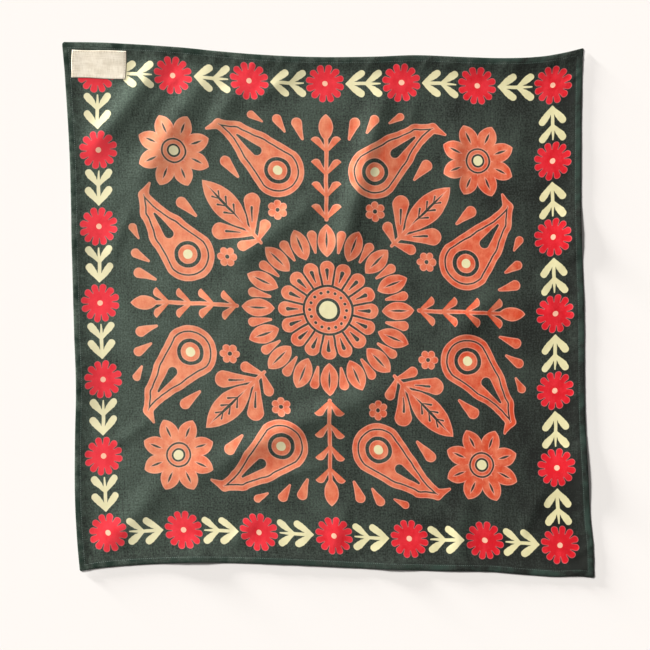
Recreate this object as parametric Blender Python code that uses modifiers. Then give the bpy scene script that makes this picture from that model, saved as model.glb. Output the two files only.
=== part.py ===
# A square cotton neck scarf, spread face up on a table, with a blank label sewn
# near its upper left corner. Metres, +Z up, +Y towards the scarf's upper edge.
# The origin is on the table, under the middle of the scarf's outline.
import math
from collections import namedtuple

import bmesh
import bpy
from mathutils import Matrix, Vector

MM = 0.001

# Cloth, as a hemmed square of 550 mm
SIDE = 550 * MM
FIELD_THICKNESS = 1.2 * MM
HEM_THICKNESS = 2.2 * MM
HEM_WIDTH = 7 * MM
HEM_SLOPE = 4.5 * MM  # the doubled hem sinks to the single cloth over this width
FIELD_CELLS = 48
HEM_LINES = (0, HEM_WIDTH, HEM_WIDTH + HEM_SLOPE)

# Label
LABEL_LENGTH = 57 * MM
LABEL_WIDTH = 29.5 * MM
LABEL_THICKNESS = 1.0 * MM
LABEL_CENTRE = Vector((-240.5 * MM, 257.3 * MM))
LABEL_TURN = math.radians(-1.6)
LABEL_CELLS = (16, 8)
SEAM_GAP = 0.45 * MM  # straight up from the cloth, which leaves about 0.3 mm over its slopes
ABOVE_THE_CLOTH = 30 * MM  # the label's flat cut starts here and is laid down on the cloth

GREEN = (0.045, 0.075, 0.055, 1)
ECRU = (0.83, 0.75, 0.60, 1)

# The outline's corners as the scarf lies
UPPER_LEFT = Vector((-279.3, 281.1)) * MM
UPPER_RIGHT = Vector((268.3, 274.8)) * MM
LOWER_RIGHT = Vector((279.3, -281.1)) * MM
LOWER_LEFT = Vector((-260.4, -274.8)) * MM

# How far each edge is drawn in from the straight line between its corners, in
# millimetres, at shares of that line from left to right or from top to bottom
Bow = namedtuple("Bow", "share drawn_in")
UPPER_EDGE = (
    Bow(0.00, 0.0), Bow(0.08, 0.2), Bow(0.22, 4.0), Bow(0.30, 7.8), Bow(0.40, 11.6),
    Bow(0.50, 12.7), Bow(0.60, 11.6), Bow(0.68, 9.6), Bow(0.78, 11.2), Bow(0.86, 11.5),
    Bow(0.92, 9.4), Bow(0.965, 5.0), Bow(1.00, 0.0),
)
LOWER_EDGE = (
    Bow(0.00, 0.0), Bow(0.04, 4.0), Bow(0.11, 7.6), Bow(0.22, 10.8), Bow(0.34, 10.4),
    Bow(0.45, 8.8), Bow(0.57, 6.4), Bow(0.70, 5.0), Bow(0.80, 4.8), Bow(0.87, 2.0),
    Bow(0.93, 0.3), Bow(0.965, 1.3), Bow(1.00, 0.0),
)
LEFT_EDGE = (
    Bow(0.00, 0.0), Bow(0.06, 1.8), Bow(0.22, 4.0), Bow(0.40, 2.9), Bow(0.55, 2.4),
    Bow(0.65, 2.5), Bow(0.75, -0.5), Bow(0.86, -2.6), Bow(0.94, -1.9), Bow(1.00, 0.0),
)
RIGHT_EDGE = (
    Bow(0.00, 0.0), Bow(0.05, 2.0), Bow(0.22, 5.0), Bow(0.35, 6.0), Bow(0.50, 4.8),
    Bow(0.68, 6.0), Bow(0.80, 4.2), Bow(0.89, 2.4), Bow(0.94, 0.2), Bow(1.00, 0.0),
)

# The folds that stand up from the table, in millimetres. Each crest runs from its start
# to its end and is bowed to its left by bow. lean is how much narrower its right flank is.
Fold = namedtuple("Fold", "start_x start_y end_x end_y bow height half_width lean")
FOLDS = (
    Fold(-266, 150, -162, 288, -5, 2.9, 19, 0.10),  # upper left corner, outer
    Fold(-210, 112, -122, 262, 1, 3.0, 24, 0.10),  # upper left corner, inner
    Fold(-140, 168, -86, 246, 0, 1.5, 17, 0.00),
    Fold(-112, 42, 4, 130, -2, 1.8, 20, 0.10),  # between the middle and the upper left
    Fold(-150, -18, -70, 34, 3, 0.9, 22, 0.00),
    Fold(5, 28, 65, 250, 0, 3.6, 20, 0.20),  # from the middle to the upper edge
    Fold(-178, -198, 104, -72, 11, 2.3, 22, 0.10),  # across the lower half
    Fold(-254, -268, -160, -166, 0, 1.4, 22, 0.00),  # lower left corner
    Fold(114, -48, 186, 30, 0, 1.3, 20, 0.00),  # right half
    Fold(134, -284, 142, -186, 0, 1.2, 18, 0.00),  # lower border
    Fold(128, 100, 137, 208, 0, 1.2, 15, 0.00),  # upper right
    Fold(-66, 330, -52, 226, 0, 1.4, 36, 0.00),  # the rest lift the hem
    Fold(150, 330, 140, 236, 0, 1.3, 34, 0.00),
    Fold(330, 74, 230, 84, 0, 1.6, 36, 0.00),
    Fold(330, -186, 226, -158, 0, 1.8, 40, 0.00),
    Fold(-146, -330, -138, -226, 0, 1.7, 42, 0.00),
    Fold(74, -330, 66, -240, 0, 1.4, 34, 0.00),
    Fold(-322, -78, -238, -72, 0, 1.4, 34, 0.00),
    Fold(-322, 74, -238, 78, 0, 1.2, 28, 0.00),
)
FOLD_END = 0.38  # the share of a fold's length over which it rises


def drawn_in(edge, share):
    # A smooth curve through the edge's rows
    last = len(edge) - 1
    right = next((i for i in range(1, last) if share <= edge[i].share), last)
    left = right - 1
    rows = [edge[max(left - 1, 0)], edge[left], edge[right], edge[min(right + 1, last)]]
    span = edge[right].share - edge[left].share
    t = (share - edge[left].share) / span
    slope_in = (rows[2].drawn_in - rows[0].drawn_in) / (rows[2].share - rows[0].share) * span
    slope_out = (rows[3].drawn_in - rows[1].drawn_in) / (rows[3].share - rows[1].share) * span
    value = (
        (2 * t**3 - 3 * t**2 + 1) * rows[1].drawn_in
        + (t**3 - 2 * t**2 + t) * slope_in
        + (3 * t**2 - 2 * t**3) * rows[2].drawn_in
        + (t**3 - t**2) * slope_out
    )
    return value * MM


def place_on_table(across, down):
    # The plan position of the cloth at shares across from the left and down from the top
    top = UPPER_LEFT.lerp(UPPER_RIGHT, across) - Vector((0, drawn_in(UPPER_EDGE, across)))
    bottom = LOWER_LEFT.lerp(LOWER_RIGHT, across) + Vector((0, drawn_in(LOWER_EDGE, across)))
    left = UPPER_LEFT.lerp(LOWER_LEFT, down) + Vector((drawn_in(LEFT_EDGE, down), 0))
    right = UPPER_RIGHT.lerp(LOWER_RIGHT, down) - Vector((drawn_in(RIGHT_EDGE, down), 0))
    corners = UPPER_LEFT.lerp(UPPER_RIGHT, across).lerp(LOWER_LEFT.lerp(LOWER_RIGHT, across), down)
    return top.lerp(bottom, down) + left.lerp(right, across) - corners


def fold_rise(fold, point):
    start = Vector((fold.start_x, fold.start_y)) * MM
    crest = Vector((fold.end_x, fold.end_y)) * MM - start
    along = (point - start).dot(crest) / crest.length_squared
    if not 0 < along < 1:
        return 0
    to_left = crest.orthogonal().normalized().dot(point - start)
    to_left -= fold.bow * MM * math.sin(math.pi * along)
    half_width = fold.half_width * MM * (1 - fold.lean if to_left < 0 else 1 + fold.lean)
    if abs(to_left) > half_width:
        return 0
    rising = min(min(along, 1 - along) / FOLD_END, 1)
    height = fold.height * MM * rising**2 * (3 - 2 * rising)
    return height * math.cos(math.pi / 2 * to_left / half_width) ** 2


def line_share(index, cells):
    # Grid lines stand close together at the hems and evenly over the field
    rims = len(HEM_LINES) - 1
    from_edge = min(index, cells - index)
    if from_edge <= rims:
        share = HEM_LINES[from_edge] / SIDE
        return share if index < cells - index else 1 - share
    field = 1 - 2 * HEM_LINES[-1] / SIDE
    return HEM_LINES[-1] / SIDE + field * (index - rims) / FIELD_CELLS


def painted(name, colour, roughness):
    material = bpy.data.materials.new(name)
    material.use_nodes = True
    shader = material.node_tree.nodes["Principled BSDF"]
    shader.inputs["Base Color"].default_value = colour
    shader.inputs["Roughness"].default_value = roughness
    shader.inputs["Metallic"].default_value = 0
    return material


def flat_grid(name, cells_across, cells_down, material, collection):
    # A grid of unit squares from (0, 0) to (cells_across, cells_down)
    mesh = bpy.data.meshes.new(name)
    to_corner = Matrix.Diagonal((cells_across / 2, cells_down / 2, 1, 1)) @ Matrix.Translation((1, 1, 0))
    bm = bmesh.new()
    bmesh.ops.create_grid(
        bm, x_segments=cells_across, y_segments=cells_down, size=1, matrix=to_corner
    )
    bm.to_mesh(mesh)
    bm.free()
    mesh.shade_smooth()
    mesh.materials.append(material)
    sheet = bpy.data.objects.new(name, mesh)
    collection.objects.link(sheet)
    return sheet


def lay_out_cloth(collection):
    cells = FIELD_CELLS + 2 * (len(HEM_LINES) - 1)
    cloth = flat_grid("scarf_cloth", cells, cells, painted("cotton", GREEN, 0.9), collection)
    single = cloth.vertex_groups.new(name="thickness")
    field_share = FIELD_THICKNESS / HEM_THICKNESS
    for vertex in cloth.data.vertices:
        column, row = round(vertex.co.x), round(vertex.co.y)
        across, down = line_share(column, cells), 1 - line_share(row, cells)
        plan = place_on_table(across, down)
        rise = sum(fold_rise(fold, plan) for fold in FOLDS)
        vertex.co = (plan.x, plan.y, rise)
        from_edge = min(column, row, cells - column, cells - row)
        is_hem = from_edge < len(HEM_LINES) - 1
        single.add([vertex.index], 1 if is_hem else field_share, "REPLACE")
    solid = cloth.modifiers.new("Thickness", "SOLIDIFY")
    solid.thickness = HEM_THICKNESS
    solid.offset = 1
    solid.vertex_group = single.name
    return cloth


def sew_on_label(cloth, collection):
    label = flat_grid("label", *LABEL_CELLS, painted("label_tape", ECRU, 0.85), collection)
    scale = Matrix.Diagonal((LABEL_LENGTH / LABEL_CELLS[0], LABEL_WIDTH / LABEL_CELLS[1], 1, 1))
    to_middle = Matrix.Translation((-LABEL_LENGTH / 2, -LABEL_WIDTH / 2, 0))
    label.data.transform(to_middle @ scale)
    label.location = (*LABEL_CENTRE, ABOVE_THE_CLOTH)
    label.rotation_euler.z = LABEL_TURN
    lay = label.modifiers.new("Lay on cloth", "SHRINKWRAP")
    lay.target = cloth
    lay.wrap_method = "PROJECT"
    lay.use_project_z = True
    lay.use_positive_direction = False
    lay.use_negative_direction = True
    lay.offset = SEAM_GAP
    solid = label.modifiers.new("Thickness", "SOLIDIFY")
    solid.thickness = LABEL_THICKNESS
    solid.offset = 1
    return label


def main():
    for leftover in list(bpy.data.objects):
        bpy.data.objects.remove(leftover)
    collection = bpy.data.collections.new("Neck scarf")
    bpy.context.scene.collection.children.link(collection)
    cloth = lay_out_cloth(collection)
    sew_on_label(cloth, collection)


main()
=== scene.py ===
# A square cotton neck scarf, laid out face up and seen from straight above.
# Settings are in millimetres, meshes in metres, both in the CAD model's frame.
import math

import bpy
import numpy as np
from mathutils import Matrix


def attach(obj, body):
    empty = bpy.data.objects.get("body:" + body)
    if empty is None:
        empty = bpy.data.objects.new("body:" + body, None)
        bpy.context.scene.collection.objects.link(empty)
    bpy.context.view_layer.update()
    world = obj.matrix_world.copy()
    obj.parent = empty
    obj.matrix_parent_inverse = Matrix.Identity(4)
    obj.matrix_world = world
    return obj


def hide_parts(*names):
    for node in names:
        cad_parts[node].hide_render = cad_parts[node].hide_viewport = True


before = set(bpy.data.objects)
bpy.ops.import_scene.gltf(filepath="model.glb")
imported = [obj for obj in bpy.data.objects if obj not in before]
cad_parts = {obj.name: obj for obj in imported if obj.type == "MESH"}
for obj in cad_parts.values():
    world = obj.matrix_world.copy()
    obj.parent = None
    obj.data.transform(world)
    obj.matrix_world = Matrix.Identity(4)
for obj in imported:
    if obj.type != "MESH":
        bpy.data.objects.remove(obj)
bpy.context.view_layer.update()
mm = 0.001

# The photograph is 650 pixels across, and photoMiddle is its pixel over the frame's origin
camera = {
    "mmPerPixel": 1.05,
    "photoMiddle": (328.0, 309.75),
    "pixels": 650,
    "height": 2200,
    "sensor": 36,
}


def aimCamera():
    print("camera")
    across = camera["pixels"] * camera["mmPerPixel"]
    middle = camera["pixels"] / 2
    lens = bpy.data.cameras.new("camera")
    lens.sensor_width = camera["sensor"]
    lens.lens = camera["sensor"] * camera["height"] / across
    lens.clip_end = 20
    viewer = bpy.data.objects.new("camera", lens)
    bpy.context.scene.collection.objects.link(viewer)
    viewer.location = (
        (middle - camera["photoMiddle"][0]) * camera["mmPerPixel"] * mm,
        (camera["photoMiddle"][1] - middle) * camera["mmPerPixel"] * mm,
        camera["height"] * mm,
    )
    bpy.context.scene.camera = viewer


# A number that changes over a surface: an expression on it adds Math nodes
class Wire:
    def __init__(self, board, socket):
        self.board = board
        self.socket = socket

    def __add__(self, other):
        return self.board.maths("ADD", self, other)

    def __radd__(self, other):
        return self.board.maths("ADD", other, self)

    def __sub__(self, other):
        return self.board.maths("SUBTRACT", self, other)

    def __rsub__(self, other):
        return self.board.maths("SUBTRACT", other, self)

    def __mul__(self, other):
        return self.board.maths("MULTIPLY", self, other)

    def __rmul__(self, other):
        return self.board.maths("MULTIPLY", other, self)

    def __truediv__(self, other):
        return self.board.maths("DIVIDE", self, other)

    def __neg__(self):
        return self.board.maths("MULTIPLY", self, -1)

    def __abs__(self):
        return self.board.maths("ABSOLUTE", self)

    def __gt__(self, other):
        return self.board.maths("GREATER_THAN", self, other)


# One material and its nodes
class Board:
    def __init__(self, name, **constants):
        self.material = bpy.data.materials.new(name)
        self.material.use_nodes = True
        self.nodes = self.material.node_tree.nodes
        self.shader = self.nodes["Principled BSDF"]
        self.plug(self.shader, constants)

    def plug(self, node, inputs):
        for key, value in inputs.items():
            value = getattr(value, "socket", value)
            if isinstance(value, bpy.types.NodeSocket):
                self.material.node_tree.links.new(value, node.inputs[key])
            else:
                node.inputs[key].default_value = value

    def node(self, kind, settings, inputs):
        made = self.nodes.new(kind)
        for name, value in settings.items():
            setattr(made, name, value)
        self.plug(made, inputs)
        return made

    def maths(self, operation, *values, clamp=False):
        settings = {"operation": operation, "use_clamp": clamp}
        return Wire(self, self.node("ShaderNodeMath", settings, dict(enumerate(values))).outputs[0])

    def vector(self, operation, *values):
        made = self.node("ShaderNodeVectorMath", {"operation": operation}, dict(enumerate(values)))
        return made.outputs["Vector"]

    def number(self, operation, *values):
        made = self.node("ShaderNodeVectorMath", {"operation": operation}, dict(enumerate(values)))
        return Wire(self, made.outputs["Value"])

    def scaled(self, vector, factor):
        made = self.node("ShaderNodeVectorMath", {"operation": "SCALE"}, {0: vector, 3: factor})
        return made.outputs["Vector"]

    def point(self, x, y):
        return self.node("ShaderNodeCombineXYZ", {}, {0: x, 1: y}).outputs[0]

    def split(self, vector):
        apart = self.node("ShaderNodeSeparateXYZ", {}, {0: vector})
        return Wire(self, apart.outputs[0]), Wire(self, apart.outputs[1])

    def noise(self, place, blot, shift=0.0, detail=2.0):
        # blot is the size of the noise's patches across and along the cloth
        shrunk = self.vector("MULTIPLY_ADD", place, (1 / blot[0], 1 / blot[1], 0), (shift, shift, 0))
        inputs = {"Vector": shrunk, "Scale": 1.0, "Detail": detail}
        return self.node("ShaderNodeTexNoise", {"noise_dimensions": "2D"}, inputs)

    def level(self, place, blot, shift=0.0, detail=2.0):
        return Wire(self, self.noise(place, blot, shift, detail).outputs[0])

    def attribute(self, name):
        return Wire(self, self.node("ShaderNodeAttribute", {"attribute_name": name}, {}).outputs["Fac"])

    def mix(self, factor, first, second):
        inputs = {0: factor, 6: first, 7: second}
        return self.node("ShaderNodeMix", {"data_type": "RGBA"}, inputs).outputs[2]

    def bump(self, height, distance):
        inputs = {"Height": height, "Strength": 1.0, "Distance": distance}
        return self.node("ShaderNodeBump", {}, inputs).outputs[0]

    # Shapes of the print, as a distance in mm that is negative inside
    def disc(self, place, middle, radius):
        return self.number("DISTANCE", place, (*middle, 0)) - radius

    def lobe(self, place, start, end, startRadius, endRadius):
        # a stroke with round ends, thicker or thinner towards its end
        run = (end[0] - start[0], end[1] - start[1])
        square = run[0] ** 2 + run[1] ** 2
        fromStart = self.vector("SUBTRACT", place, (*start, 0))
        share = self.number("DOT_PRODUCT", fromStart, (run[0] / square, run[1] / square, 0))
        share = self.maths("ADD", share, 0, clamp=True)
        away = self.number("DISTANCE", fromStart, self.scaled((*run, 0), share))
        return self.maths("MULTIPLY_ADD", share, startRadius - endRadius, away) - startRadius

    def blade(self, place, start, end, halfWidth):
        # a leaf with two pointed ends, between two arcs
        middle = ((start[0] + end[0]) / 2, (start[1] + end[1]) / 2)
        half = math.dist(start, end) / 2
        ahead = ((end[0] - start[0]) / (2 * half), (end[1] - start[1]) / (2 * half))
        offset = (half**2 - halfWidth**2) / (2 * halfWidth)
        moved = self.vector("SUBTRACT", place, (*middle, 0))
        along = self.number("DOT_PRODUCT", moved, (*ahead, 0))
        across = abs(self.number("DOT_PRODUCT", moved, (-ahead[1], ahead[0], 0)))
        return self.number("LENGTH", self.point(along, across + offset)) - (halfWidth + offset)

    def joined(self, *shapes, melt=0.0):
        whole = shapes[0]
        for shape in shapes[1:]:
            if melt:
                whole = self.maths("SMOOTH_MIN", whole, shape, melt)
            else:
                whole = self.maths("MINIMUM", whole, shape)
        return whole

    def without(self, shape, cut):
        return self.maths("MAXIMUM", shape, -cut)

    def around(self, place, copies, turn=0.0):
        # folds the plane into copies wedges about the origin, each mirrored on its own +X
        x, y = self.split(place)
        angle = self.maths("ARCTAN2", y, x)
        folded = self.maths("PINGPONG", angle + turn, math.pi / copies)
        radius = self.number("LENGTH", place)
        return self.point(radius * self.maths("COSINE", folded), radius * self.maths("SINE", folded))

    def inked(self, shape, edge=0.35):
        return self.maths("MULTIPLY_ADD", shape, -1 / edge, 0.5, clamp=True)


# The cloth's shape, as it lies

cloth = {
    "side": 550,
    # the outline's corners
    "upperLeft": (-279.3, 281.1),
    "upperRight": (268.3, 274.8),
    "lowerRight": (279.3, -281.1),
    "lowerLeft": (-260.4, -274.8),
    # how round the corners are, from the upper left along each row
    "cornerRadius": [(3.2, 1.2), (2.0, 1.4)],
    # how far each edge is drawn in, at shares of it from left to right or top to bottom
    "upperEdge": [
        (0.00, 0.0), (0.08, 0.2), (0.22, 4.0), (0.30, 7.8), (0.40, 11.6), (0.50, 12.7), (0.60, 11.6),
        (0.68, 9.6), (0.78, 11.2), (0.86, 11.5), (0.92, 9.4), (0.965, 5.0), (1.00, 0.0),
    ],
    "lowerEdge": [
        (0.00, 0.0), (0.04, 4.0), (0.11, 7.6), (0.22, 10.8), (0.34, 10.4), (0.45, 8.8), (0.57, 6.4),
        (0.70, 5.0), (0.80, 4.8), (0.87, 2.0), (0.93, 0.3), (0.965, 1.3), (1.00, 0.0),
    ],
    "leftEdge": [
        (0.00, 0.0), (0.06, 1.8), (0.22, 4.0), (0.40, 2.9), (0.55, 2.4),
        (0.65, 2.5), (0.75, -0.5), (0.86, -2.6), (0.94, -1.9), (1.00, 0.0),
    ],
    "rightEdge": [
        (0.00, 0.0), (0.05, 2.0), (0.22, 5.0), (0.35, 6.0), (0.50, 4.8),
        (0.68, 6.0), (0.80, 4.2), (0.89, 2.4), (0.94, 0.2), (1.00, 0.0),
    ],
    # start x, start y, end x, end y, bow to the left, height, half width, lean to the right
    "folds": [
        (-266, 150, -162, 288, -5, 2.9, 19, 0.10),
        (-210, 112, -122, 262, 1, 3.0, 24, 0.10),
        (-140, 168, -86, 246, 0, 1.5, 17, 0.00),
        (-112, 42, 4, 130, -2, 1.8, 20, 0.10),
        (-150, -18, -70, 34, 3, 0.9, 22, 0.00),
        (5, 28, 65, 250, 0, 3.6, 20, 0.20),
        (-178, -198, 104, -72, 11, 2.3, 22, 0.10),
        (-254, -268, -160, -166, 0, 1.4, 22, 0.00),
        (114, -48, 186, 30, 0, 1.3, 20, 0.00),
        (134, -284, 142, -186, 0, 1.2, 18, 0.00),
        (128, 100, 137, 208, 0, 1.2, 15, 0.00),
        (-66, 330, -52, 226, 0, 1.4, 36, 0.00),
        (150, 330, 140, 236, 0, 1.3, 34, 0.00),
        (330, 74, 230, 84, 0, 1.6, 36, 0.00),
        (330, -186, 226, -158, 0, 1.8, 40, 0.00),
        (-146, -330, -138, -226, 0, 1.7, 42, 0.00),
        (74, -330, 66, -240, 0, 1.4, 34, 0.00),
        (-322, -78, -238, -72, 0, 1.4, 34, 0.00),
        (-322, 74, -238, 78, 0, 1.2, 28, 0.00),
    ],
    # the same columns, for the small creases between the folds
    "creases": [
        (246, -246, 278, -280, 0, -0.5, 4, 0.00),
        (-206, 190, -140, 262, 2, 0.7, 8, 0.20),
        (-96, 206, -20, 262, 0, 0.6, 10, 0.00),
        (-236, 40, -198, 120, 2, 0.7, 12, 0.10),
        (-60, 84, -20, 150, 0, 0.5, 11, 0.00),
        (-216, -60, -130, -92, 4, 0.6, 13, 0.00),
        (-238, -150, -170, -104, 0, 0.7, 12, 0.10),
        (-90, -190, 10, -160, 3, 0.7, 11, 0.10),
        (30, -30, 84, -56, 0, 0.4, 13, 0.00),
        (78, 150, 96, 236, 2, 0.5, 9, 0.00),
        (190, 120, 206, 212, 0, 0.4, 12, 0.00),
        (150, -110, 216, -60, 3, 0.4, 13, 0.00),
        (196, -250, 232, -176, 0, 0.6, 11, 0.10),
        (0, -262, 24, -196, 0, 0.6, 12, 0.10),
        (-110, -262, -70, -208, 0, 0.6, 11, 0.00),
        (244, -24, 214, 58, 0, 0.6, 12, 0.00),
    ],
    "foldEnd": 0.38,  # the share of a fold's length over which it rises
    "rolling": 0.29,  # height of the broad unevenness
    "edgeLift": (0.42, 20),  # how high the edges curl off the table, and over what width
    # distance in from the edge, the top's height and the underside's
    "hem": [
        (0.0, 0.56, 0.20), (0.4, 0.86, 0.06), (1.1, 1.00, 0.03), (2.4, 1.04, 0.02), (4.2, 1.04, 0.02),
        (5.4, 0.99, 0.04), (6.1, 0.86, 0.10), (6.8, 0.88, 0.05), (7.8, 0.81, 0.08), (9.2, 0.70, 0.10),
        (11.0, 0.55, 0.08), (13.0, 0.45, 0.04), (15.5, 0.40, 0.02),
    ],
    "fieldCells": 196,
    "pucker": 0.62,
    # distance in from the edge, and the share of the pucker there
    "puckerReach": [(0, 0.45), (5, 0.55), (10, 1.0), (15, 0.65), (30, 0)],
    "mitreLayers": 0.24,  # what the folded corner's extra layers add beside its crease
    "mitreCrease": (0.32, 1.2),  # the crease's depth and width
    # weight of the wear and painted fold shade (crests painted paler, hollows darker), and the steps of
    # softening that a crest stands over
    "worn": [(0.30, 90), (1.1, 5)],
    "seam": 6.1,  # the stitches' distance in from the edge
    # how far the print is out of true, across and up, over the cloth's corners,
    # the middles of its edges and its own middle, from the upper left
    "printShift": [
        [(0.8, 0.2), (2.0, 4.2), (1.8, 1.0)],
        [(-4.0, 2.0), (-0.5, 2.0), (1.8, 2.0)],
        [(0.6, 2.8), (-1.0, 0.8), (-2.2, 0.4)],
    ],
}


def softNoise(x, y, cell, seed):
    # smooth hills from about -1 to 1, one or so to a cell
    lattice = np.random.default_rng(seed).uniform(-1, 1, (128, 128))
    column, row = x / cell + 64, y / cell + 64
    left, low = np.floor(column).astype(int), np.floor(row).astype(int)
    u, v = column - left, row - low
    u, v = u * u * (3 - 2 * u), v * v * (3 - 2 * v)
    left, low = left % 127, low % 127
    lower = lattice[low, left] * (1 - u) + lattice[low, left + 1] * u
    upper = lattice[low + 1, left] * (1 - u) + lattice[low + 1, left + 1] * u
    return lower * (1 - v) + upper * v


def ease(share):
    share = np.clip(share, 0, 1)
    return share * share * (3 - 2 * share)


def drawnIn(edge, share):
    # a smooth curve through the edge's rows
    at, inward = np.array(edge).T
    last = len(at) - 1
    left = np.clip(np.searchsorted(at, share) - 1, 0, last - 1)
    before, right, after = np.maximum(left - 1, 0), left + 1, np.minimum(left + 2, last)
    span = at[right] - at[left]
    t = (share - at[left]) / span
    slopeIn = (inward[right] - inward[before]) / (at[right] - at[before]) * span
    slopeOut = (inward[after] - inward[left]) / (at[after] - at[left]) * span
    return (
        (2 * t**3 - 3 * t**2 + 1) * inward[left]
        + (t**3 - 2 * t**2 + t) * slopeIn
        + (3 * t**2 - 2 * t**3) * inward[right]
        + (t**3 - t**2) * slopeOut
    )


def layOut(flatX, flatY):
    # where a point of the flat square lies on the table
    side = cloth["side"]
    radius = np.array(cloth["cornerRadius"])[(flatY < 0).astype(int), (flatX > 0).astype(int)]
    inX, inY = side / 2 - np.abs(flatX), side / 2 - np.abs(flatY)
    u, v = np.clip(1 - inX / radius, 0, 1), np.clip(1 - inY / radius, 0, 1)
    roundX, roundY = u * np.sqrt(1 - v * v / 2), v * np.sqrt(1 - u * u / 2)
    across = 0.5 + (flatX - np.sign(flatX) * (u - roundX) * radius) / side
    down = 0.5 - (flatY - np.sign(flatY) * (v - roundY) * radius) / side
    corners = [cloth[name] for name in ("upperLeft", "upperRight", "lowerLeft", "lowerRight")]
    result = []
    for axis in (0, 1):
        upperLeft, upperRight, lowerLeft, lowerRight = (corner[axis] for corner in corners)
        top = upperLeft + (upperRight - upperLeft) * across
        bottom = lowerLeft + (lowerRight - lowerLeft) * across
        left = upperLeft + (lowerLeft - upperLeft) * down
        right = upperRight + (lowerRight - upperRight) * down
        middle = top + (bottom - top) * down
        if axis == 0:
            left = left + drawnIn(cloth["leftEdge"], down)
            right = right - drawnIn(cloth["rightEdge"], down)
        else:
            top = top - drawnIn(cloth["upperEdge"], across)
            bottom = bottom + drawnIn(cloth["lowerEdge"], across)
        result.append(top + (bottom - top) * down + left + (right - left) * across - middle)
    return result


def foldRise(x, y, fold):
    startX, startY, endX, endY, bow, height, halfWidth, lean = fold
    runX, runY = endX - startX, endY - startY
    length = math.hypot(runX, runY)
    along = np.clip(((x - startX) * runX + (y - startY) * runY) / length**2, 0, 1)
    toLeft = ((y - startY) * runX - (x - startX) * runY) / length - bow * np.sin(np.pi * along)
    reach = halfWidth * np.where(toLeft < 0, 1 - lean, 1 + lean)
    across = np.cos(np.pi / 2 * np.clip(toLeft / reach, -1, 1)) ** 2
    return height * ease(np.minimum(along, 1 - along) / cloth["foldEnd"]) * across


def lift(flatX, flatY, x, y):
    # how high the cloth's underside stands off the table
    inX, inY = cloth["side"] / 2 - np.abs(flatX), cloth["side"] / 2 - np.abs(flatY)
    rise = sum(foldRise(x, y, fold) for fold in cloth["folds"] + cloth["creases"])
    broad = softNoise(x, y, 46, 11) + 0.55 * softNoise(x, y, 21, 12) + 0.25 * softNoise(x, y, 9, 13)
    rise = rise + cloth["rolling"] * np.maximum(broad + 0.55, 0)
    height, width = cloth["edgeLift"]
    rise = rise + height * (1 - ease(np.minimum(inX, inY) / width))
    # the hem's thread draws the cloth up into small puckers beside it
    for inward, along, seed in ((inX, flatY + 0.6 * inX, 21), (inY, flatX + 0.6 * inY, 31)):
        line = np.sign(flatX if seed == 21 else flatY) * 300
        waves = softNoise(along, line, 4.2, seed) + 0.8 * softNoise(along, line, 11, seed + 1)
        near = np.interp(inward, *np.array(cloth["puckerReach"]).T)
        rise = rise + cloth["pucker"] * near * np.maximum(waves + 0.25, 0)
    return rise


def hemHeights(flatX, flatY):
    # the top's and the underside's height over the lift
    inX, inY = cloth["side"] / 2 - np.abs(flatX), cloth["side"] / 2 - np.abs(flatY)
    inward, top, under = np.array(cloth["hem"]).T
    nearest = np.minimum(inX, inY)
    over, below = np.interp(nearest, inward, top), np.interp(nearest, inward, under)
    # the mitre: a crease on the diagonal with the folded corner's extra layers beside it
    diagonal = np.abs(inX - inY)
    corner = ease((cloth["seam"] - np.maximum(inX, inY)) / 2.5)
    layers = cloth["mitreLayers"] * ease(diagonal / 2.2) * ease((7 - diagonal) / 5)
    depth, width = cloth["mitreCrease"]
    over = over + corner * (layers - depth * np.exp(-((diagonal / width) ** 2)))
    return over, below


def printedAt(flatX, flatY):
    # the point of the print that a point of the flat square carries
    u, v = flatX / border["line"], -flatY / border["line"]
    acrossWeights = [u * (u - 1) / 2, 1 - u * u, u * (u + 1) / 2]
    downWeights = [v * (v - 1) / 2, 1 - v * v, v * (v + 1) / 2]
    shiftX, shiftY = 0, 0
    for down, row in zip(downWeights, cloth["printShift"]):
        for across, (toRight, upwards) in zip(acrossWeights, row):
            shiftX = shiftX + down * across * toRight
            shiftY = shiftY + down * across * upwards
    return flatX - shiftX, flatY - shiftY


def softened(surface, times):
    for _ in range(times):
        padded = np.pad(surface, 1, mode="edge")
        around = padded[:-2, 1:-1] + padded[2:, 1:-1] + padded[1:-1, :-2] + padded[1:-1, 2:]
        surface = surface / 2 + around / 8
    return surface


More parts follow.
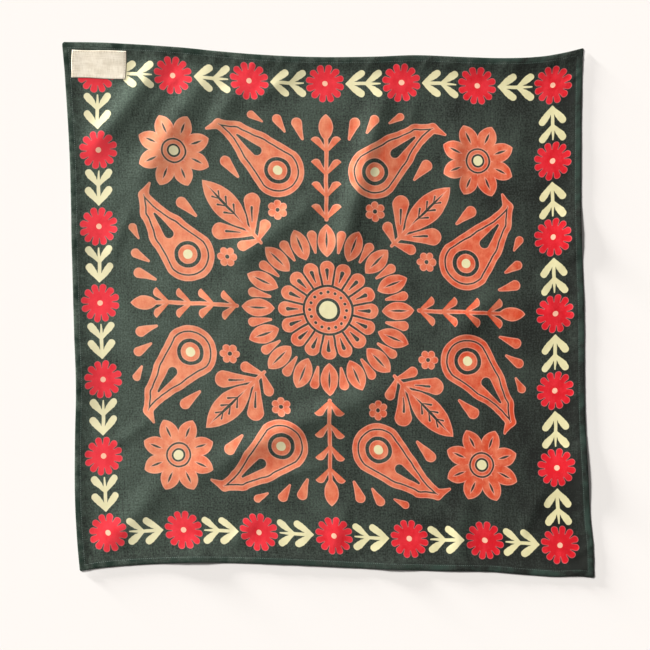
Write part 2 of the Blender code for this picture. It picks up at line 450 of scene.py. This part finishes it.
def gridMesh(name, x, y, top, under, flat, material, **levels):
    # a closed sheet from rows of points: its top, its underside and the rim between them
    rows, columns = x.shape
    number = np.arange(rows * columns).reshape(rows, columns)
    points = np.concatenate([np.stack([x, y, z], -1).reshape(-1, 3) for z in (top, under)]) * mm
    # rows run down the cloth, so the top's faces go down, across and up to face upwards
    quads = np.stack([number[:-1, :-1], number[1:, :-1], number[1:, 1:], number[:-1, 1:]], -1).reshape(-1, 4)
    rim = np.concatenate([number[0, :-1], number[:-1, -1], number[-1, :0:-1], number[:0:-1, 0]])
    after = np.roll(rim, -1)
    below = rows * columns
    walls = np.stack([rim, after, after + below, rim + below], -1)
    faces = np.concatenate([quads, quads[:, ::-1] + below, walls])
    mesh = bpy.data.meshes.new(name)
    mesh.from_pydata(points.tolist(), [], faces.tolist())
    mesh.shade_smooth()
    corners = np.empty(len(mesh.loops), dtype=np.int32)
    mesh.loops.foreach_get("vertex_index", corners)
    uv = mesh.uv_layers.new(name="flat")
    uv.data.foreach_set("uv", flat.reshape(-1, 2)[corners % below].ravel())
    face = mesh.attributes.new("face", "FLOAT", "POINT")
    face.data.foreach_set("value", np.repeat([1.0, 0.0], below))
    for levelName, values in levels.items():
        level = mesh.attributes.new(levelName, "FLOAT", "POINT")
        level.data.foreach_set("value", np.tile(values.ravel(), 2))
    mesh.materials.append(material)
    piece = bpy.data.objects.new(name, mesh)
    bpy.context.scene.collection.objects.link(piece)
    return piece


def clothLines():
    # grid lines across the cloth: close together at the hems, even over the field
    rim = np.array([row[0] for row in cloth["hem"]])
    half = cloth["side"] / 2
    field = np.linspace(rim[-1] - half, half - rim[-1], cloth["fieldCells"] + 1)
    return np.concatenate([rim[:-1] - half, field, half - rim[-2::-1]])


def makeCloth(material):
    print("cloth")
    lines = clothLines()
    flatX, flatY = np.meshgrid(lines, -lines)
    x, y = layOut(flatX, flatY)
    rise = lift(flatX, flatY, x, y)
    over, below = hemHeights(flatX, flatY)
    # crests are painted paler and hollows darker: partly wash wear, partly painted highlight on the crests
    # and painted shade in the hollows
    worn = sum(weight * (rise - softened(rise, times)) for weight, times in cloth["worn"])
    worn = np.clip(worn, -1, 1)
    inward = cloth["side"] / 2 - np.maximum(np.abs(flatX), np.abs(flatY))
    flat = np.stack(printedAt(flatX, flatY), -1) / cloth["side"] + 0.5
    return gridMesh("scarf", x, y, rise + over, rise + below, flat, material, worn=worn, inward=inward)


# The print: red flowers and cream sprigs round the border, and a terracotta middle
# of a rosette, paisleys, stars and leaf sprays, mirrored on both axes and diagonals

inks = {
    "ground": (0.012, 0.0135, 0.0108),
    "groundLight": (0.103, 0.1400, 0.1080),
    "hem": (0.014, 0.028, 0.019),
    # the hem's ink with painted light, for the right and bottom hems against the shade there
    "hemPaintedLight": (0.0275, 0.0470, 0.0355),
    "red": (0.80, 0.041, 0.056),
    "redDeep": (0.62, 0.0075, 0.0155),
    "redRim": (0.58, 0.21, 0.21),
    "cream": (0.80, 0.73, 0.455),
    "creamDeep": (0.70, 0.635, 0.35),
    "peach": (0.90, 0.50, 0.335),
    "terracotta": (0.80, 0.29, 0.155),
    "terracottaDeep": (0.585, 0.064, 0.022),
    "terracottaRim": (0.80, 0.50, 0.38),
    "back": (0.13, 0.165, 0.140),
}


def ink(name):
    return (*inks[name], 1)


# how the dye has taken, and the painted light that pales the cloth's left side
dye = {
    "stray": 2.2,  # how far the outlines of the print wander
    "sun": (-0.85, 0.2),  # the direction the painted light comes from, across and up
    "sunWidth": 560,
    "paintedLit": 0.60,  # how much paler the painted light makes the ground where it is strongest
    "paintedUnlit": 0.075,  # how pale the ground is where there is no painted light
    "deeperOutwards": 0.08,
    "patches": 0.5,
    "wearAndFoldShadeWeight": 0.18,
    "warp": 0.35,
    "weft": 0.25,
    "specks": 0.9,
}

border = {
    "line": 242,  # flower centres stand on this square
    "pitch": 80.667,
    "petals": 12,
    "petalTurn": 12,  # degrees from the row to the first petal
    "flowerDisc": 12.6,
    "eye": 2.9,
    "leafRepeat": 18.4,  # from a sprig's first pair of leaves to its second
}


def borderInks(board, place):
    # along runs round the cloth against the clock, and outward is the distance from the flowers' line
    x, y = board.split(place)
    onSide = abs(x) > abs(y)
    fromTopOrBottom = board.maths("SIGN", y) * x * -1
    fromSide = board.maths("SIGN", x) * y
    along = fromTopOrBottom + onSide * (fromSide - fromTopOrBottom)
    outward = board.maths("MAXIMUM", abs(x), abs(y)) - border["line"]
    count = along / border["pitch"]
    atFlower = along - board.maths("ROUND", count) * border["pitch"]
    turn = -math.radians(border["petalTurn"])
    petal = board.around(board.point(atFlower, outward), border["petals"], turn)
    flower = board.joined(
        board.lobe(petal, (9, 0), (16.8, 0), 2.6, 3.55),
        board.disc(petal, (0, 0), border["flowerDisc"]),
        melt=0.4,
    )
    eye = board.disc(petal, (0, 0), border["eye"])
    # a sprig stands on each flower, along the row: up is from that flower's centre
    up = (board.maths("FLOOR", count) + 1) * border["pitch"] - along
    aside = abs(outward)
    isUpper = up - aside * 0.87 > 36.8
    leafPlace = board.point(up - isUpper * border["leafRepeat"], aside)
    stemPlace = board.point(up, aside)
    sprig = board.joined(
        board.lobe(leafPlace, (25.0, 0.8), (32.4, 6.0), 1.3, 3.2),
        board.lobe(leafPlace, (32.4, 6.0), (35.4, 8.6), 3.2, 3.8),
        board.lobe(leafPlace, (35.4, 8.6), (38.4, 10.8), 3.8, 3.7),
        board.lobe(stemPlace, (22.8, 0), (27.6, 2.8), 1.0, 2.4),
        board.lobe(stemPlace, (27.6, 2.8), (32.4, 6.6), 2.4, 3.4),
        board.lobe(stemPlace, (27, 0), (46, 0), 1.8, 1.8),
        board.lobe(stemPlace, (46, 0), (58.0, 0), 1.8, 0.7),
        melt=0.8,
    )
    return flower, eye, sprig


middle = {
    "rosettePetals": 16,
    "star": 162,  # the stars' centres, across and along
    "starPetals": 8,
    "stemLeaf": 24,  # the pitch of the leaf pairs on the stems along the axes
}


def middleInks(board, place):
    x, y = board.split(place)
    wide, narrow = board.maths("MAXIMUM", abs(x), abs(y)), board.maths("MINIMUM", abs(x), abs(y))
    eighth = board.point(wide, narrow)

    # rosette
    petal = board.around(place, middle["rosettePetals"])
    rosette = board.lobe(petal, (27, 0), (45.3, 0), 4.2, 8.0)
    rosette = board.without(rosette, board.lobe(petal, (32, 0), (43, 0), 0.35, 2.1))
    rosette = board.without(rosette, board.disc(petal, (0, 0), 27.0))
    hub = board.without(board.disc(petal, (0, 0), 24.5), board.disc(petal, (0, 0), 12.8))
    hub = board.without(hub, board.disc(petal, (19.4, 0), 1.6))
    terracotta = board.joined(rosette, hub)
    cream = board.disc(petal, (0, 0), 9.6)

    # wreath of broad leaves and buds round the rosette
    wreath = board.blade(petal, (57, 0), (92, 0), 9.6)
    wreath = board.without(wreath, board.blade(petal, (66, 0), (84, 0), 1.1))
    bud = board.around(place, middle["rosettePetals"], math.pi / middle["rosettePetals"])
    terracotta = board.joined(terracotta, wreath, board.lobe(bud, (63, 0), (81.5, 0), 1.5, 5.2))

    # paisleys in mirrored pairs beside each axis
    body, waist, neck, tip, end = (148, 52), (168, 74), (186, 96), (194, 114), (188, 127)
    paisley = board.joined(
        board.lobe(eighth, body, waist, 28.5, 21.0),
        board.lobe(eighth, waist, neck, 21.0, 12.0),
        board.lobe(eighth, neck, tip, 12.0, 5.4),
        board.lobe(eighth, tip, end, 5.4, 1.5),
        melt=3.0,
    )
    channel = abs(paisley + 6.4) - 0.8
    core = board.without(board.disc(eighth, body, 14.2), board.disc(eighth, body, 10.2))
    heart = board.lobe(eighth, waist, (183, 94), 5.2, 1.2)
    paisley = board.without(board.without(board.without(paisley, channel), core), heart)
    cream = board.joined(cream, board.disc(eighth, body, 5.0))
    terracotta = board.joined(terracotta, paisley)

    # a star on each diagonal, with a gap between two of its petals towards the middle
    starPlace = board.vector("SUBTRACT", eighth, (middle["star"], middle["star"], 0))
    ray = board.around(starPlace, middle["starPetals"], math.pi / middle["starPetals"])
    star = board.without(board.blade(ray, (9, 0), (40, 0), 10.0), board.blade(ray, (20, 0), (32, 0), 1.1))
    star = board.joined(board.without(star, board.disc(ray, (0, 0), 13.4)), board.disc(ray, (0, 0), 11.6))
    star = board.without(star, board.disc(ray, (0, 0), 7.2))
    terracotta = board.joined(terracotta, star)
    cream = board.joined(cream, board.disc(ray, (0, 0), 5.2))

    # a spray of leaves on each diagonal, between the wreath and the star
    diagonal, aside = (wide + narrow) * math.sqrt(0.5), (wide - narrow) * math.sqrt(0.5)
    slant = board.point(diagonal, aside)
    spray = board.joined(
        board.blade(slant, (119, 0), (187, 0), 14.0),
        board.lobe(slant, (98, 0), (126, 0), 1.8, 2.8),
        board.lobe(slant, (112, 2), (136, 24), 2.2, 9.2),
        board.lobe(slant, (102, 1), (109, 17), 1.8, 5.8),
        melt=1.8,
    )
    veins = board.joined(
        board.blade(slant, (130, 0), (177, 0), 1.4),
        board.lobe(slant, (139, 0), (147, 6.6), 0.4, 1.1),
        board.lobe(slant, (150, 0), (158, 6.0), 0.4, 1.1),
        board.lobe(slant, (161, 0), (168, 4.4), 0.4, 0.9),
        board.lobe(slant, (121, 9), (132, 19.4), 0.4, 1.3),
    )
    terracotta = board.joined(terracotta, board.without(spray, veins))

    # a long leafy stem on each axis
    pitch = middle["stemLeaf"]
    climb = wide - 96
    pair = board.point(climb - board.maths("FLOOR", (climb - narrow * 0.9) / pitch) * pitch, narrow)
    stem = board.joined(
        board.maths("MAXIMUM", board.lobe(pair, (1.5, 1.0), (11.8, 10.8), 2.3, 5.8), abs(climb - 48) - 50),
        board.lobe(eighth, (97, 0), (196, 0), 2.2, 2.2),
        board.blade(eighth, (181, 0), (210, 0), 7.6),
        melt=1.6,
    )
    terracotta = board.joined(terracotta, stem)

    # small leaves in the gaps
    bloom = board.around(board.vector("SUBTRACT", eighth, (106, 52, 0)), 6)
    smallBloom = board.joined(board.disc(bloom, (6.8, 0), 4.0), board.disc(bloom, (0, 0), 5.4))
    terracotta = board.joined(
        terracotta,
        board.without(smallBloom, board.disc(bloom, (0, 0), 2.2)),
        board.lobe(eighth, (183, 25), (200, 31), 1.6, 5.6),
        board.lobe(eighth, (190, 44), (203, 52), 1.4, 5.2),
        board.lobe(eighth, (200, 68), (206, 79), 1.2, 4.4),
        board.lobe(eighth, (139, 94), (154, 107), 1.6, 6.2),
    )
    return terracotta, cream


def clothMaterial():
    print("cloth's material")
    board = Board("printed cotton", **{"Roughness": 0.9, "Metallic": 0.0, "Specular IOR Level": 0.2})
    side = cloth["side"]
    uv = board.node("ShaderNodeUVMap", {"uv_map": "flat"}, {}).outputs[0]
    place = board.vector("MULTIPLY_ADD", uv, (side, side, 0), (-side / 2, -side / 2, 0))

    # hand-cut blocks: every outline wanders a little
    wander = board.noise(place, (26, 26), 3.1, 3.0).outputs["Color"]
    stray = dye["stray"]
    moved = board.vector("SUBTRACT", place, (stray / 2, stray / 2, 0))
    drawn = board.vector("MULTIPLY_ADD", wander, (stray, stray, 0), moved)

    # tone: slubs in the yarns, patches in the dye, wear with painted highlight and shade on the folds, and
    # painted light that makes the left side paler
    warp = board.level(place, (1.4, 22), 5.3, 2.0)
    weft = board.level(place, (22, 1.3), 9.7, 1.5)
    speck = board.level(place, (1.7, 1.9), 2.2, 3.0)
    patch = board.level(place, (38, 50), 7.9, 3.0)
    x, y = board.split(place)
    sunAcross, sunUp = dye["sun"]
    # painted light: the cloth is paler towards the left and top, as if lit from there, its slubs and inks too
    paintedLeftLight = board.maths("MULTIPLY_ADD", x * sunAcross + y * sunUp, 1 / dye["sunWidth"], 0.5, clamp=True)
    slub = (warp - 0.5) * dye["warp"] + (weft - 0.5) * dye["weft"] + (speck - 0.5) * dye["specks"]
    # painted highlight on fold crests and painted shade in hollows, with some wear
    tone = (patch - 0.5) * dye["patches"] + board.attribute("worn") * dye["wearAndFoldShadeWeight"]
    reach = board.number("LENGTH", place) / 300
    base = paintedLeftLight * dye["paintedLit"] + dye["paintedUnlit"] - reach * reach * dye["deeperOutwards"]
    paleness = board.maths("ADD", base + tone, slub * (paintedLeftLight * 0.85 + 0.55), clamp=True)
    colour = board.mix(paleness, ink("ground"), ink("groundLight"))

    # the hem has kept more dye, in blots where the thread draws it up
    blots = 0.5 - board.level(place, (7, 7), 6.6, 2.0)
    stretch = 0.5 - board.level(place, (26, 26), 6.1, 1.0)
    inward = board.attribute("inward")
    inHem = board.maths("MULTIPLY_ADD", inward, -1 / 1.4, (cloth["seam"] + 1.6) / 1.4, clamp=True)
    kept = board.maths("ADD", blots * 2.0 + stretch * 2.4, 0.50, clamp=True)
    # painted light: the hem is paler towards the right and bottom, lifting it out of the shade there
    hemUnlitShare = board.maths("MULTIPLY_ADD", paintedLeftLight, 1.6, -0.3, clamp=True)
    hem = board.mix(hemUnlitShare, ink("hemPaintedLight"), ink("hem"))
    colour = board.mix(inHem * kept, colour, hem)
    # painted shade: a mottled dark band just inside the hem's inner edge
    hemShadeBand = board.maths("MULTIPLY_ADD", inward, -1 / 18, 1.2, clamp=True) * (1 - inHem)
    hemShadeDepth = board.maths("MULTIPLY_ADD", blots, 1.6, 0.42, clamp=True)
    colour = board.mix(hemShadeBand * hemShadeDepth, colour, ink("ground"))

    terracotta, centres = middleInks(board, drawn)
    mottle = board.level(place, (9, 11), 4.6, 4.0) - 0.5
    # the inks are also paler under the painted light and on the painted crest highlights
    strength = board.maths("ADD", paintedLeftLight * 1.15 - 0.04 + tone, mottle * 1.1 + slub * 0.35, clamp=True)
    warm = board.mix(strength, ink("terracottaDeep"), ink("terracotta"))
    rim = board.inked(abs(terracotta + 0.45) - 0.4, 0.5)
    colour = board.mix(board.inked(terracotta), colour, warm)
    colour = board.mix(rim * 0.4, colour, ink("terracottaRim"))

    flower, eye, sprig = borderInks(board, drawn)
    red = board.mix(strength, ink("redDeep"), ink("red"))
    rim = board.inked(abs(flower + 0.1) - 0.3, 0.5)
    colour = board.mix(board.inked(flower), colour, red)
    colour = board.mix(rim * 0.45, colour, ink("redRim"))
    straw = board.mix(strength, ink("creamDeep"), ink("cream"))
    colour = board.mix(board.inked(board.joined(sprig, centres)), colour, straw)
    colour = board.mix(board.inked(eye), colour, ink("peach"))

    # the underside shows the print faintly through undyed yarn
    colour = board.mix((1 - board.attribute("face")) * 0.78, colour, ink("back"))
    board.plug(board.shader, {"Base Color": colour})

    # plain weave, two yarns to the millimetre, over the slubs
    crossing = board.maths("SINE", x * (2 * math.pi)) * board.maths("SINE", y * (2 * math.pi))
    height = abs(crossing) * 0.06 + slub * 0.10
    board.plug(board.shader, {"Normal": board.bump(height, mm)})
    return board.material


# The label

label = {
    "length": 57,
    "width": 29.2,
    "middle": (-240.5, 257.4),
    "turn": -1.6,  # degrees
    "thickness": 0.32,
    "cells": (76, 40),
    "gap": 0.08,
    "softening": 400,  # steps that even out the cloth's shape under it
    "uneven": (0.35, 0.30),  # how far its cut strays, along and across
    "swell": 0.25,
    "curl": 0.2,
    "groove": 0.16,  # how deep its seams press it
    "threadDepth": 0.12,  # how far its stitches lie below its face
    "seamIn": 1.5,
    "stitch": 2.6,
    "colour": (0.70, 0.60, 0.45),
    "colourPale": (0.92, 0.83, 0.68),
    "thread": (0.46, 0.385, 0.28),
}


def onTable(alongLabel, upLabel):
    turn = math.radians(label["turn"])
    middleX, middleY = label["middle"]
    x = middleX + alongLabel * math.cos(turn) - upLabel * math.sin(turn)
    y = middleY + alongLabel * math.sin(turn) + upLabel * math.cos(turn)
    return x, y


def flatUnder(x, y):
    # the point of the flat square that lies at x, y
    flatX, flatY = x.copy(), y.copy()
    for _ in range(12):
        nowX, nowY = layOut(flatX, flatY)
        flatX, flatY = flatX + x - nowX, flatY + y - nowY
    return flatX, flatY


def clothTop(x, y):
    flatX, flatY = flatUnder(x, y)
    return lift(flatX, flatY, x, y) + hemHeights(flatX, flatY)[0]


def labelSurface():
    columns, rows = label["cells"]
    across, up = np.meshgrid(np.linspace(-0.5, 0.5, columns + 1), np.linspace(0.5, -0.5, rows + 1))
    # the cut is a little uneven
    alongStray, upStray = label["uneven"]
    towardsEnd = np.sign(across) * np.abs(2 * across) ** 3
    alongLabel = across * label["length"] + alongStray * np.sin(5 * up + 1) * towardsEnd
    upLabel = up * label["width"] + upStray * np.sin(6 * across) * (2 * up) ** 3
    x, y = onTable(alongLabel, upLabel)
    below = clothTop(x, y)
    smooth = below.copy()
    for _ in range(label["softening"]):
        padded = np.pad(smooth, 1, mode="reflect", reflect_type="odd")
        around = padded[:-2, 1:-1] + padded[2:, 1:-1] + padded[1:-1, :-2] + padded[1:-1, 2:]
        smooth = np.maximum(around / 4, below)
    # it swells between its seams, and its lower edge and right end stand off
    swell = label["swell"] * np.cos(np.pi * across) * ease((0.5 - up) * 2.2)
    curl = label["curl"] * ease(across * 2 - 0.35) * ease(0.4 - up)
    return across, up, x, y, smooth + label["gap"] + swell + curl


def makeLabel(material):
    print("label")
    across, up, x, y, under = labelSurface()
    edge = np.minimum((0.5 - np.abs(across)) * label["length"], (0.5 - np.abs(up)) * label["width"])
    # three seams press it down
    seams = [np.abs(across) * label["length"] - label["length"] / 2 + label["seamIn"]]
    seams.append(label["width"] * (0.5 - up) - label["seamIn"])
    groove = sum(np.exp(-((seam / 0.5) ** 2)) for seam in seams)
    thick = label["thickness"] * (0.55 + 0.45 * ease(edge / 0.8)) - label["groove"] * np.minimum(groove, 1)
    flat = np.stack([across + 0.5, up + 0.5], -1)
    return gridMesh("label_tape", x, y, under + thick, under, flat, material)


def labelMaterial():
    board = Board("label tape", **{"Roughness": 0.9, "Metallic": 0.0, "Specular IOR Level": 0.25})
    uv = board.node("ShaderNodeUVMap", {"uv_map": "flat"}, {}).outputs[0]
    place = board.vector("MULTIPLY", uv, (label["length"], label["width"], 0))
    yarn = board.level(place, (14, 0.55), 1.3, 2.0) * 0.5 + board.level(place, (0.5, 9), 4.4, 2.0) * 0.5
    patch = board.level(place, (9, 7), 8.2, 3.0)
    paleness = board.maths("ADD", (patch - 0.5) * 1.4 + 0.57, (yarn - 0.5) * 2.8, clamp=True)
    colour = board.mix(paleness, (*label["colour"], 1), (*label["colourPale"], 1))
    x, y = board.split(place)
    crossing = board.maths("SINE", x * (2 * math.pi / 0.9)) * board.maths("SINE", y * (2 * math.pi / 0.9))
    board.plug(board.shader, {"Base Color": colour, "Normal": board.bump(crossing * 0.05 + yarn * 0.1, mm)})
    return board.material


# Sewing thread, as Geometry Nodes along each seam

thread = {
    "pitch": 2.2,
    "length": 1.7,
    "thickness": 0.45,
    "colour": (0.050, 0.070, 0.056),
    "paintedLitColour": (0.150, 0.188, 0.164),  # the thread's painted lit colour, on the scarf's left side
    "proud": 0.02,  # how far the hem's seams stand off the cloth
    "seed": 5,
}


def stitchTree():
    tree = bpy.data.node_groups.new("stitches on a seam", "GeometryNodeTree")
    inputs = {}
    for name, kind in (
        ("Seam", "NodeSocketGeometry"),
        ("Pitch", "NodeSocketFloat"),
        ("Length", "NodeSocketFloat"),
        ("Thickness", "NodeSocketFloat"),
        ("Seed", "NodeSocketInt"),
        ("Thread", "NodeSocketMaterial"),
    ):
        inputs[name] = tree.interface.new_socket(name, in_out="INPUT", socket_type=kind).identifier
    tree.interface.new_socket("Stitches", in_out="OUTPUT", socket_type="NodeSocketGeometry")

    def node(kind, settings, **links):
        made = tree.nodes.new(kind)
        for name, value in settings.items():
            setattr(made, name, value)
        for name, value in links.items():
            socket = made.inputs[name.replace("_", " ")]
            if isinstance(value, bpy.types.NodeSocket):
                tree.links.new(value, socket)
            else:
                socket.default_value = value
        return made

    given = tree.nodes.new("NodeGroupInput").outputs
    points = node("GeometryNodeCurveToPoints", {"mode": "LENGTH"}, Curve=given["Seam"], Length=given["Pitch"])
    bead = node("GeometryNodeMeshUVSphere", {}, Segments=6, Rings=5, Radius=0.5)
    size = node("ShaderNodeCombineXYZ", {}, X=given["Thickness"], Y=given["Thickness"], Z=given["Length"])
    vary = node("FunctionNodeRandomValue", {"data_type": "FLOAT"}, Seed=given["Seed"])
    vary.inputs[2].default_value, vary.inputs[3].default_value = 0.86, 1.06
    scale = node("ShaderNodeVectorMath", {"operation": "SCALE"}, Scale=vary.outputs[1])
    tree.links.new(size.outputs[0], scale.inputs[0])
    placed = node(
        "GeometryNodeInstanceOnPoints",
        {},
        Points=points.outputs["Points"],
        Instance=bead.outputs["Mesh"],
        Rotation=points.outputs["Rotation"],
        Scale=scale.outputs[0],
    )
    turn = node("FunctionNodeRandomValue", {"data_type": "FLOAT_VECTOR"}, Seed=given["Seed"])
    turn.inputs[0].default_value, turn.inputs[1].default_value = (-0.09, -0.09, 0), (0.09, 0.09, 0)
    turned = node("GeometryNodeRotateInstances", {}, Instances=placed.outputs[0], Rotation=turn.outputs[0])
    real = node("GeometryNodeRealizeInstances", {}, Geometry=turned.outputs[0])
    smooth = node("GeometryNodeSetShadeSmooth", {}, Geometry=real.outputs[0])
    finished = node("GeometryNodeSetMaterial", {}, Geometry=smooth.outputs[0], Material=given["Thread"])
    tree.links.new(finished.outputs[0], tree.nodes.new("NodeGroupOutput").inputs[0])
    return tree, inputs


def sew(name, seams, pitch, length, thickness, material, tree, inputs):
    path = bpy.data.curves.new(name, "CURVE")
    path.dimensions = "3D"
    for seam in seams:
        line = path.splines.new("POLY")
        line.points.add(len(seam) - 1)
        line.points.foreach_set("co", np.c_[seam * mm, np.ones(len(seam))].ravel())
    guide = bpy.data.objects.new(name + "_guide", path)
    bpy.context.scene.collection.objects.link(guide)
    grow = guide.modifiers.new("Stitches", "NODES")
    grow.node_group = tree
    grow[inputs["Pitch"]] = pitch * mm
    grow[inputs["Length"]] = length * mm
    grow[inputs["Thickness"]] = thickness * mm
    grow[inputs["Seed"]] = thread["seed"]
    grow[inputs["Thread"]] = material
    graph = bpy.context.evaluated_depsgraph_get()
    mesh = bpy.data.meshes.new_from_object(guide.evaluated_get(graph))
    mesh.name = name
    bpy.data.objects.remove(guide)
    stitches = bpy.data.objects.new(name, mesh)
    bpy.context.scene.collection.objects.link(stitches)
    return stitches


def threadMaterial(name, colour, paintedLitColour):
    board = Board(name, **{"Roughness": 0.7, "Metallic": 0.0})
    place = board.node("ShaderNodeTexCoord", {}, {}).outputs["Object"]
    large = board.scaled(place, 1 / mm)
    twist = board.level(large, (0.6, 0.6), 0.0, 1.0)
    x = board.split(large)[0]
    # painted light: the thread is paler towards the scarf's left side
    paintedLeftLight = board.maths("MULTIPLY_ADD", x, -1 / dye["sunWidth"], 0.5, clamp=True)
    shades = []
    for share in (0.72, 1.2):
        paintedUnlit = tuple(share * part for part in colour)
        paintedLit = tuple(share * part for part in paintedLitColour)
        shades.append(board.mix(paintedLeftLight, (*paintedUnlit, 1), (*paintedLit, 1)))
    mixed = board.mix(twist, *shades)
    board.plug(board.shader, {"Base Color": mixed, "Normal": board.bump(twist * 0.08, mm)})
    return board.material


def hemSeams():
    # one line of stitches along each side, on the top and on the underside
    line = cloth["side"] / 2 - cloth["seam"]
    along = np.arange(-line, line + 0.1, 2.0)
    seams = []
    for flatX, flatY in ((along, line), (along, -line), (line, along), (-line, along)):
        flatX, flatY = np.broadcast_arrays(np.asarray(flatX, float), np.asarray(flatY, float))
        x, y = layOut(flatX, flatY)
        rise = lift(flatX, flatY, x, y)
        over, below = hemHeights(flatX, flatY)
        for face in (over, below):
            seams.append(np.stack([x, y, rise + face + thread["proud"]], -1))
    return seams


def labelSeams():
    x, y, under = labelSurface()[2:]
    top = np.stack([x, y, under + label["thickness"] - label["threadDepth"]], -1)
    columns, rows = label["cells"]
    fromEnd = round(label["seamIn"] / label["length"] * columns)
    fromTop = round(label["seamIn"] / label["width"] * rows)
    upper = top[fromTop, fromEnd : columns - fromEnd + 1]
    return [upper, top[fromTop : rows - 1, fromEnd], top[fromTop : rows - 1, columns - fromEnd]]


# The studio: two broad, far lamps at the upper left, one of them so low that it
# skims the table, and a pale room. Angles are in degrees, azimuth against the clock from +X.
light = {
    "azimuth": 140,
    # elevation, spread and power of each lamp
    "key": (34, 16, 4.338),
    "skim": (3.2, 6, 10.6),
    "sky": 0.15,
    "floorColour": (0.90, 0.856, 0.816),
}


def lightScene():
    print("floor and lights")
    floor = bpy.data.meshes.new("floor")
    half = 3
    corners = [(-half, -half, 0), (half, -half, 0), (half, half, 0), (-half, half, 0)]
    floor.from_pydata(corners, [], [(0, 1, 2, 3)])
    board = Board("floor", **{"Roughness": 0.95, "Base Color": (*light["floorColour"], 1)})
    floor.materials.append(board.material)
    table = bpy.data.objects.new("floor", floor)
    bpy.context.scene.collection.objects.link(table)
    for name in ("key", "skim"):
        elevation, spread, power = light[name]
        sun = bpy.data.lights.new(name, "SUN")
        sun.angle = math.radians(spread)
        sun.energy = power
        lamp = bpy.data.objects.new(name, sun)
        bpy.context.scene.collection.objects.link(lamp)
        # a lamp shines down its own -Z
        lamp.rotation_euler = (math.radians(90 - elevation), 0, math.radians(90 + light["azimuth"]))
    world = bpy.data.worlds.new("sky")
    world.use_nodes = True
    sky = world.node_tree.nodes["Background"]
    sky.inputs["Color"].default_value = (1, 1, 1, 1)
    sky.inputs["Strength"].default_value = light["sky"]
    bpy.context.scene.world = world
    bpy.context.scene.view_settings.view_transform = "Standard"


def main():
    aimCamera()
    lightScene()
    scarf = makeCloth(clothMaterial())
    tape = makeLabel(labelMaterial())
    print("stitches")
    tree, inputs = stitchTree()
    green = threadMaterial("green thread", thread["colour"], thread["paintedLitColour"])
    ecru = threadMaterial("ecru thread", label["thread"], label["thread"])
    size = thread["pitch"], thread["length"], thread["thickness"]
    hemStitches = sew("hem_stitches", hemSeams(), *size, green, tree, inputs)
    small = label["stitch"], label["stitch"] * 0.72, thread["thickness"] * 0.9
    labelStitches = sew("label_stitches", labelSeams(), *small, ecru, tree, inputs)

    for piece in (scarf, tape, hemStitches, labelStitches):
        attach(piece, "root")
    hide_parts("scarf_cloth")
    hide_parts("label")

main()
